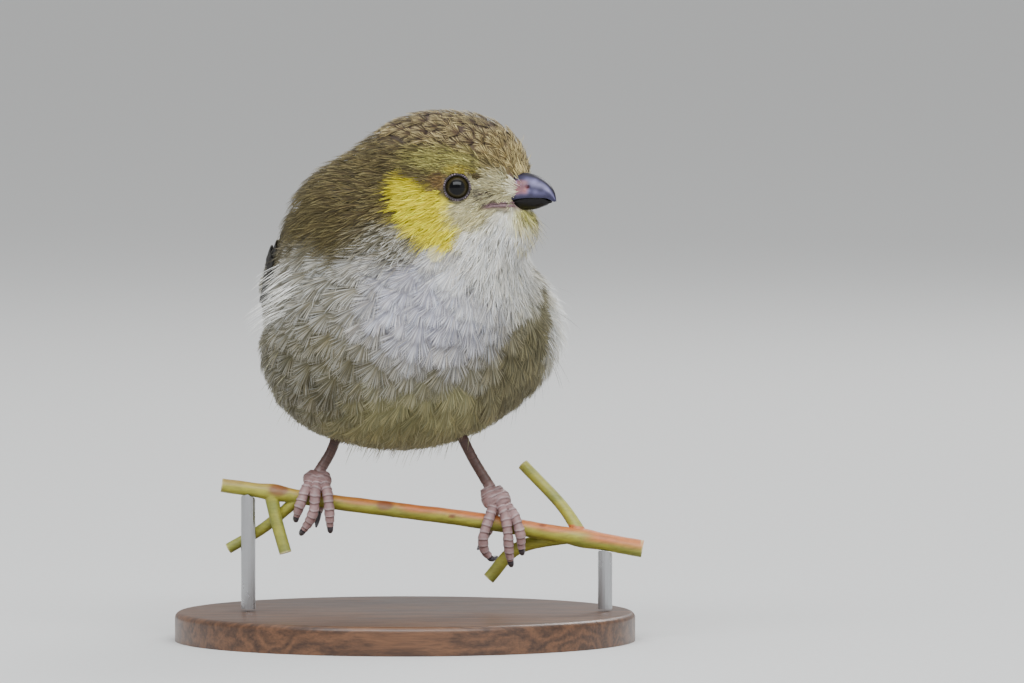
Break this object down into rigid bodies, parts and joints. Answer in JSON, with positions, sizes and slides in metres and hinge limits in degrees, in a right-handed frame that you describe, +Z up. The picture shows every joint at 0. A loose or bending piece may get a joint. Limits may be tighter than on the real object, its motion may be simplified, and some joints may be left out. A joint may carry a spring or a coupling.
{
  "type": "forty-spotted pardalote model",
  "caption": "Life-size still model of a forty-spotted pardalote, a small round songbird with its head turned, gripping a cut twig held on rods over a round base.",
  "frame": {"origin": "centre of the stand base's underside", "axes": "+Z up; the twig runs along X; the bird looks towards -Y, its head turned to +X"},
  "size_m": [0.0652, 0.0898, 0.0741],
  "materials": {
    "olive_plumage": "soft olive-brown feathers, yellow on the cheek",
    "pale_plumage": "soft pale grey feathers, buff-yellow below",
    "dark_plumage": "close blackish flight feathers with white tips",
    "bill_horn": "smooth slate-grey horn, satin gloss",
    "eye": "wet gloss, dark olive-brown iris round a black pupil",
    "leg_skin": "scaly pinkish-brown skin",
    "claw_horn": "dark grey horn",
    "twig_bark": "smooth yellow-green bark, flushed orange-red",
    "stand_wood": "dark oiled hardwood",
    "stand_steel": "satin steel rod"
  },
  "bodies": {
    "root": {"bill_lower": "bill_horn", "bill_upper": "bill_horn", "claw_left_hind": "claw_horn", "claw_left_inner": "claw_horn", "claw_left_middle": "claw_horn", "claw_left_outer": "claw_horn", "claw_right_hind": "claw_horn", "claw_right_inner": "claw_horn", "claw_right_middle": "claw_horn", "claw_right_outer": "claw_horn", "eye_left": "eye", "eye_right": "eye", "foot_left": "leg_skin", "foot_right": "leg_skin", "head": "olive_plumage", "leg_left": "leg_skin", "leg_right": "leg_skin", "neck": "olive_plumage", "perch_twig": "twig_bark", "stand_base": "stand_wood", "stand_rod_left": "stand_steel", "stand_rod_right": "stand_steel", "tail": "dark_plumage", "torso": "pale_plumage", "wing_left": "dark_plumage", "wing_right": "dark_plumage"}
  },
  "joints": []
}
